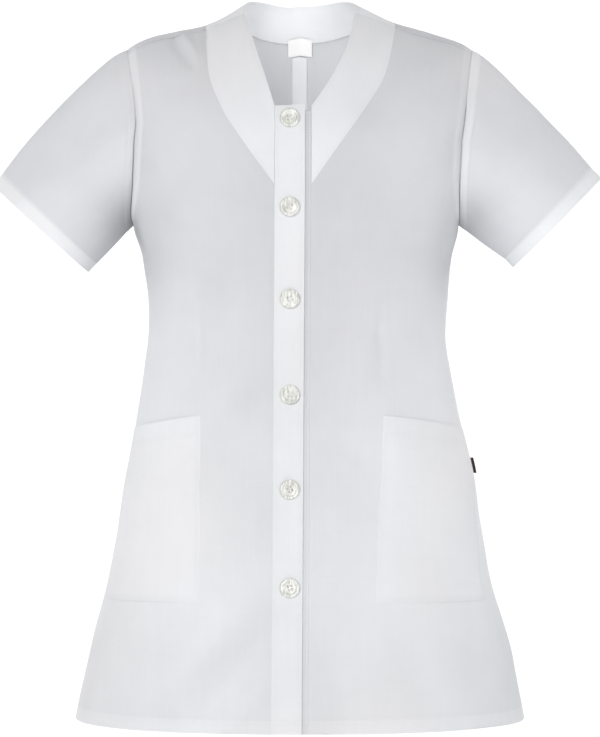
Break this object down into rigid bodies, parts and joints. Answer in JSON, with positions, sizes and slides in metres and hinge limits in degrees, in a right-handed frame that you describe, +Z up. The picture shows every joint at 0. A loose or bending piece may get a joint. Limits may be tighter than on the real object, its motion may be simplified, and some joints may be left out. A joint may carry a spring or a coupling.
{
  "type": "medical tunic",
  "caption": "White short-sleeved medical tunic with a V neck band, a buttoned front, patch pockets and side vents, filled out as worn and hollow.",
  "frame": {"origin": "midway between the two points where the shoulders meet the neck, where the wearer holds the garment up", "axes": "+Z up from hem to neck, +X towards the wearer's left, +Y towards the back"},
  "size_m": [0.669, 0.3002, 0.7896],
  "materials": {
    "white_cloth": "matt plain weave",
    "button": "pearl gloss",
    "label": "satin weave",
    "tag": "matt tape"
  },
  "bodies": {
    "root": {"back_right": "white_cloth", "back_left": "white_cloth", "centre_back_seam": "white_cloth", "front_right": "white_cloth", "front_left": "white_cloth", "placket_right": "white_cloth", "placket_left": "white_cloth", "collar_front_right": "white_cloth", "collar_front_left": "white_cloth", "collar_back": "white_cloth", "sleeve_right": "white_cloth", "sleeve_left": "white_cloth", "pocket_right": "white_cloth", "pocket_left": "white_cloth", "button_1": "button", "button_2": "button", "button_3": "button", "button_4": "button", "button_5": "button", "button_6": "button", "neck_label": "label", "side_tag": "tag"}
  },
  "joints": []
}
